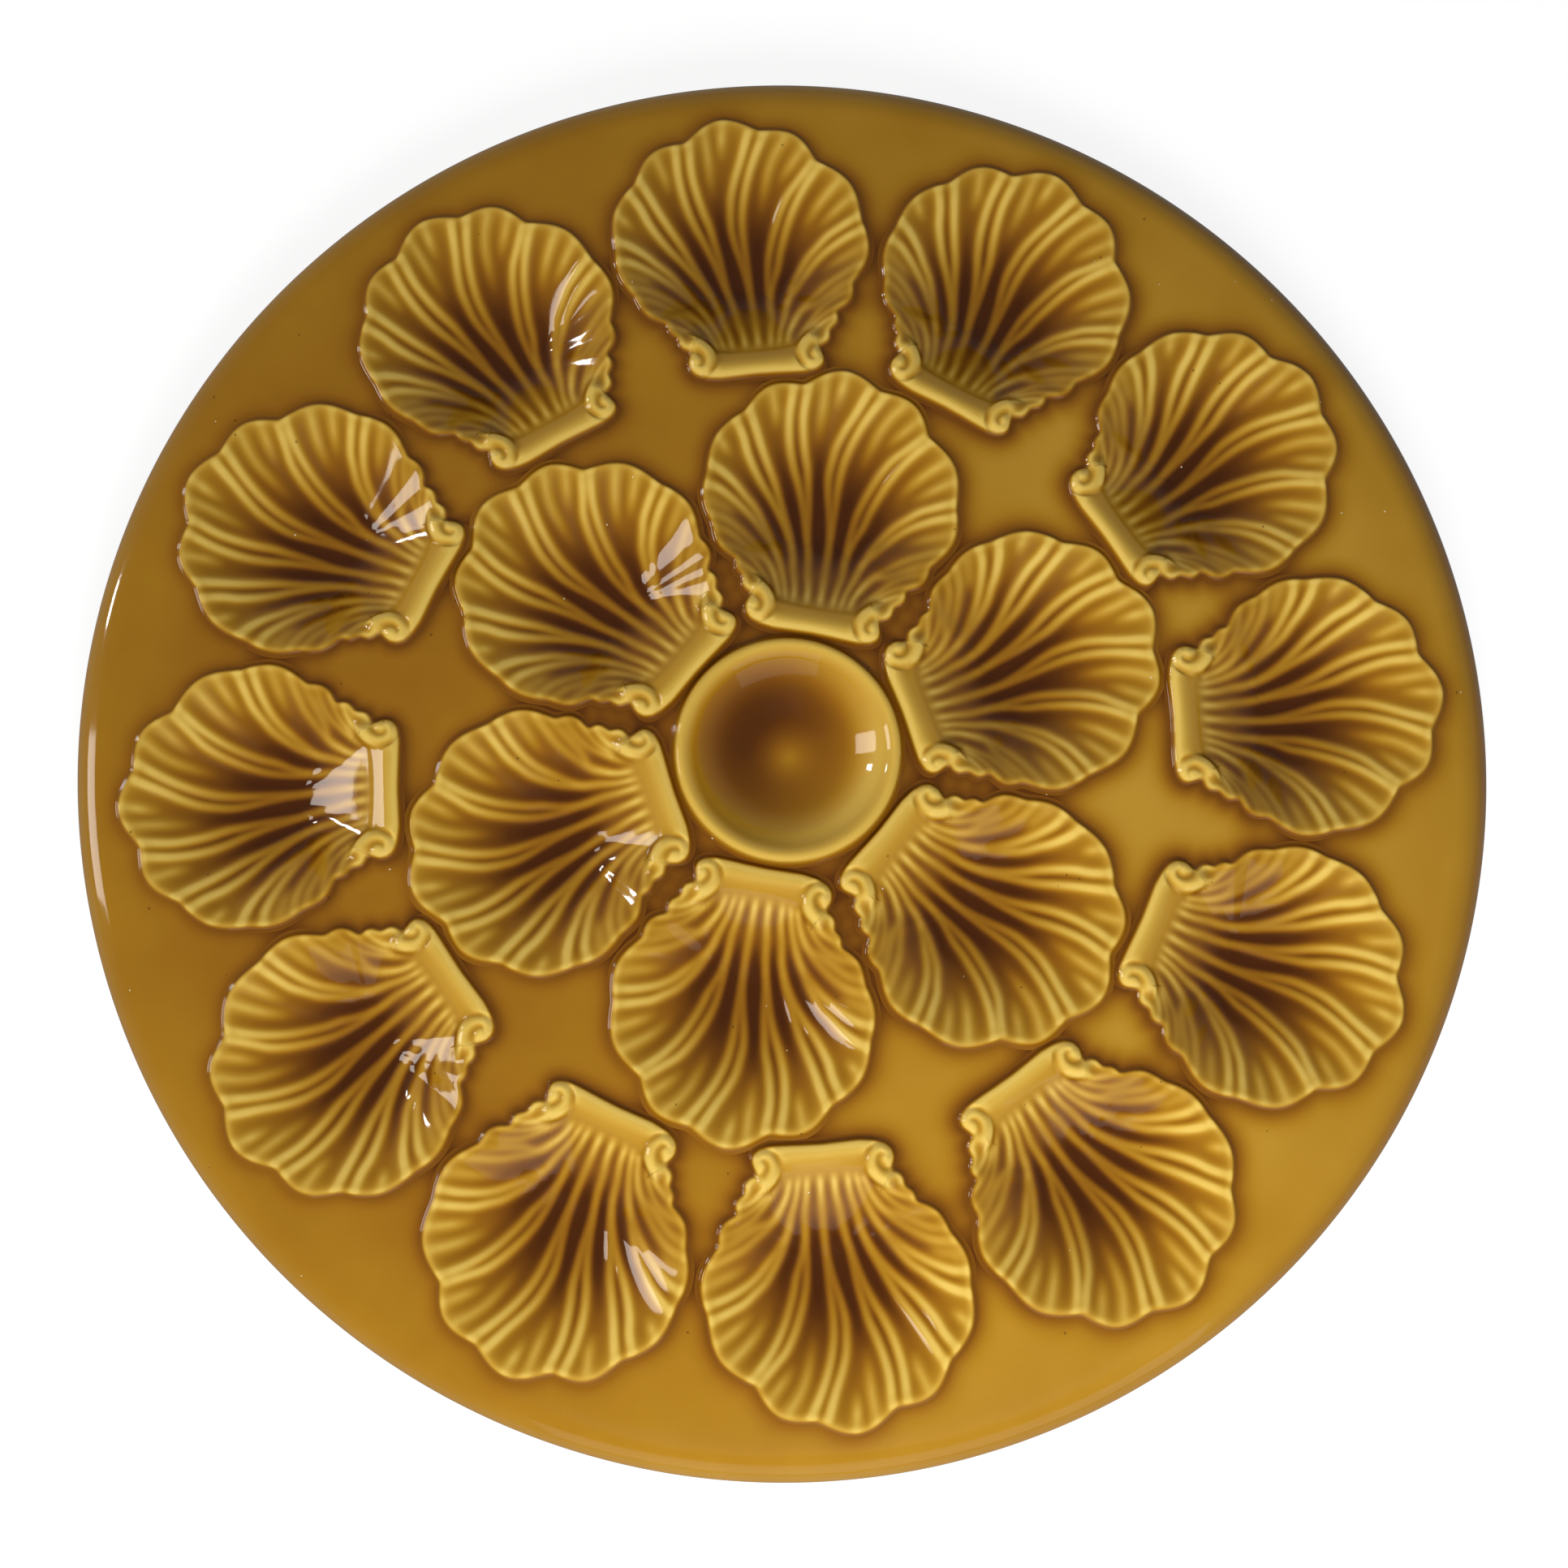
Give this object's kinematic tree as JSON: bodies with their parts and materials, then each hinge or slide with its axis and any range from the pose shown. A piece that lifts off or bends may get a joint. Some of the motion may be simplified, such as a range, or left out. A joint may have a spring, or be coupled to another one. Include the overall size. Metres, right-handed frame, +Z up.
{
  "type": "oyster platter",
  "caption": "Round honey-glazed oyster platter with fluted shell-shaped wells in two rings, hinge scrolls, a small central sauce cup and a foot ring.",
  "frame": {"origin": "on the table under the middle of the platter", "axes": "+Z up out of the sauce cup, +Y towards the middle of one outer shell"},
  "size_m": [0.3802, 0.3802, 0.0309],
  "materials": {
    "field_glaze": "gloss",
    "foot_glaze": "gloss",
    "cup_glaze": "gloss",
    "shell_glaze": "gloss"
  },
  "bodies": {
    "root": {"plate": "field_glaze", "foot_ring": "foot_glaze", "sauce_cup": "cup_glaze", "outer_shell_01": "shell_glaze", "outer_shell_02": "shell_glaze", "outer_shell_03": "shell_glaze", "outer_shell_04": "shell_glaze", "outer_shell_05": "shell_glaze", "outer_shell_06": "shell_glaze", "outer_shell_07": "shell_glaze", "outer_shell_08": "shell_glaze", "outer_shell_09": "shell_glaze", "outer_shell_10": "shell_glaze", "outer_shell_11": "shell_glaze", "outer_shell_12": "shell_glaze", "inner_shell_01": "shell_glaze", "inner_shell_02": "shell_glaze", "inner_shell_03": "shell_glaze", "inner_shell_04": "shell_glaze", "inner_shell_05": "shell_glaze", "inner_shell_06": "shell_glaze"}
  },
  "joints": []
}
